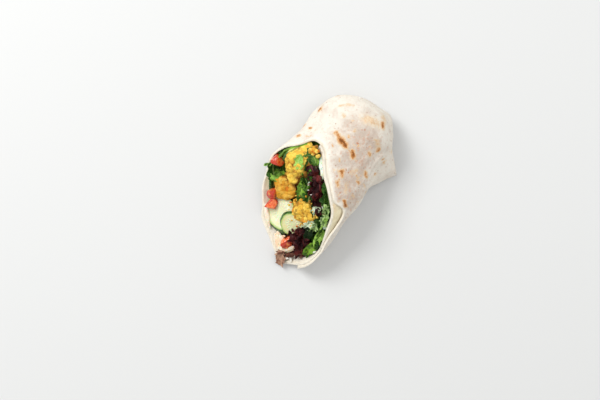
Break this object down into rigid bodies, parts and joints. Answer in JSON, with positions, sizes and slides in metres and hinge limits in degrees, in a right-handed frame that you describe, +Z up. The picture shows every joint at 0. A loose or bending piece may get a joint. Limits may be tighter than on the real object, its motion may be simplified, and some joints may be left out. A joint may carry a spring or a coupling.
{
  "type": "vegetarian meatball wrap",
  "caption": "Half of a rolled flour tortilla cut on a long slant, showing fried vegetable balls, lettuce, cucumber and tomato, and folded shut at its far end.",
  "frame": {"origin": "middle of the footprint of the half's bounding box, on the surface it lies on", "axes": "+X along the roll towards the folded end, +Y to the left of that, +Z up"},
  "size_m": [0.1592, 0.0945, 0.0528],
  "materials": {
    "tortilla": "matte, floury, with toasted spots",
    "meatball": "coarse fried crumb",
    "cucumber": "moist flesh with a dark green skin",
    "tomato": "wet",
    "green_lettuce": "fresh leaf",
    "red_lettuce": "fresh leaf",
    "yoghurt": "creamy"
  },
  "bodies": {
    "root": {"tortilla": "tortilla", "green_salad": "green_lettuce", "red_lettuce_upper": "red_lettuce", "red_lettuce_lower": "red_lettuce", "meatball_1": "meatball", "meatball_2": "meatball", "meatball_3": "meatball", "cucumber_1": "cucumber", "cucumber_2": "cucumber", "cucumber_3": "cucumber", "cucumber_4": "cucumber", "tomato_1": "tomato", "tomato_2": "tomato", "tomato_3": "tomato", "tomato_4": "tomato", "yoghurt_sauce": "yoghurt"}
  },
  "joints": []
}
